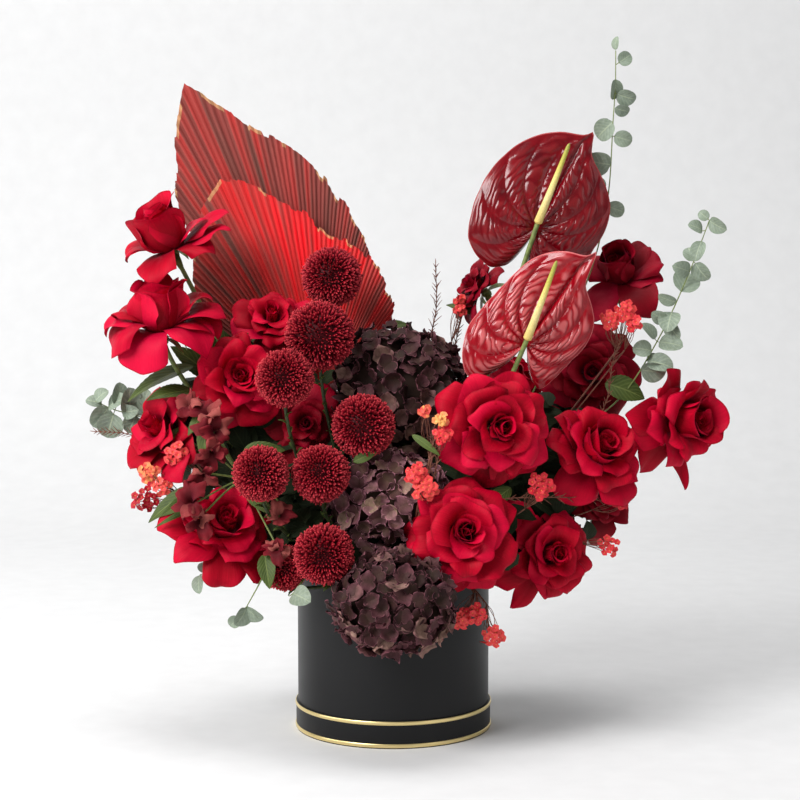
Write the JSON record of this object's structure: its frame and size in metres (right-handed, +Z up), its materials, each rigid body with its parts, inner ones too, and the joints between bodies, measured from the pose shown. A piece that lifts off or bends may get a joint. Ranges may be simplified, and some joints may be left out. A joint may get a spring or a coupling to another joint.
{
  "type": "flower box",
  "caption": "Round black hat box standing in its gold-trimmed lid, filled with an arrangement of red cut flowers held in foam.",
  "frame": {"origin": "centre of the lid's underside, on the surface the box stands on", "axes": "+Z up along the box's axis; the arrangement's front faces -Y and its tall palm leaves lean towards -X"},
  "size_m": [0.6554, 0.3489, 0.7064],
  "materials": {
    "black_card": "matte",
    "gold_trim": "satin",
    "liner_plastic": "gloss",
    "floral_foam": "matte",
    "rose_petal": "matte",
    "pompon_petal": "matte",
    "hydrangea_dark": "matte",
    "hydrangea_mauve": "matte",
    "spathe": "gloss",
    "spadix": "matte",
    "dried_palm": "matte",
    "eucalyptus": "matte",
    "coral_petal": "matte",
    "twig": "matte",
    "floret": "matte",
    "green_leaf": "satin"
  },
  "bodies": {
    "lid": {"lid_panel": "black_card", "lid_band": "black_card", "lid_trim_upper": "gold_trim", "lid_trim_lower": "gold_trim"},
    "box": {"box_wall": "black_card", "box_floor": "black_card"},
    "arrangement": {"liner": "liner_plastic", "foam": "floral_foam", "rose_1": "rose_petal", "rose_2": "rose_petal", "rose_3": "rose_petal", "rose_4": "rose_petal", "rose_5": "rose_petal", "rose_6": "rose_petal", "rose_7": "rose_petal", "rose_8": "rose_petal", "rose_9": "rose_petal", "rose_10": "rose_petal", "rose_11": "rose_petal", "rose_12": "rose_petal", "rose_13": "rose_petal", "rose_14": "rose_petal", "rose_15": "rose_petal", "rose_16": "rose_petal", "roses_back": "rose_petal", "mum_1": "pompon_petal", "mum_2": "pompon_petal", "mum_3": "pompon_petal", "mum_4": "pompon_petal", "mum_5": "pompon_petal", "mum_6": "pompon_petal", "mum_7": "pompon_petal", "mum_8": "pompon_petal", "hydrangea_1": "hydrangea_dark", "hydrangea_2": "hydrangea_mauve", "hydrangea_3": "hydrangea_dark", "hydrangea_4": "hydrangea_mauve", "hydrangea_5": "hydrangea_dark", "spathe_1": "spathe", "spathe_2": "spathe", "spadix_1": "spadix", "spadix_2": "spadix", "palm_1": "dried_palm", "palm_2": "dried_palm", "eucalyptus_top": "eucalyptus", "eucalyptus_right": "eucalyptus", "eucalyptus_left": "eucalyptus", "eucalyptus_low": "eucalyptus", "coral_left": "coral_petal", "coral_centre": "coral_petal", "coral_right": "coral_petal", "twigs": "twig", "leaves": "green_leaf", "florets": "floret", "rose_stems": "green_leaf", "mum_stems": "green_leaf", "hydrangea_stems": "green_leaf", "anthurium_stems": "green_leaf", "palm_stems": "dried_palm"}
  },
  "joints": [
    {"name": "box_lift", "type": "slide", "parent": "lid", "child": "box", "axis": [0, 0, 1], "range_m": [0, 0.045]},
    {"name": "liner_lift", "type": "slide", "parent": "box", "child": "arrangement", "axis": [0, 0, 1], "range_m": [0, 0.2]}
  ]
}
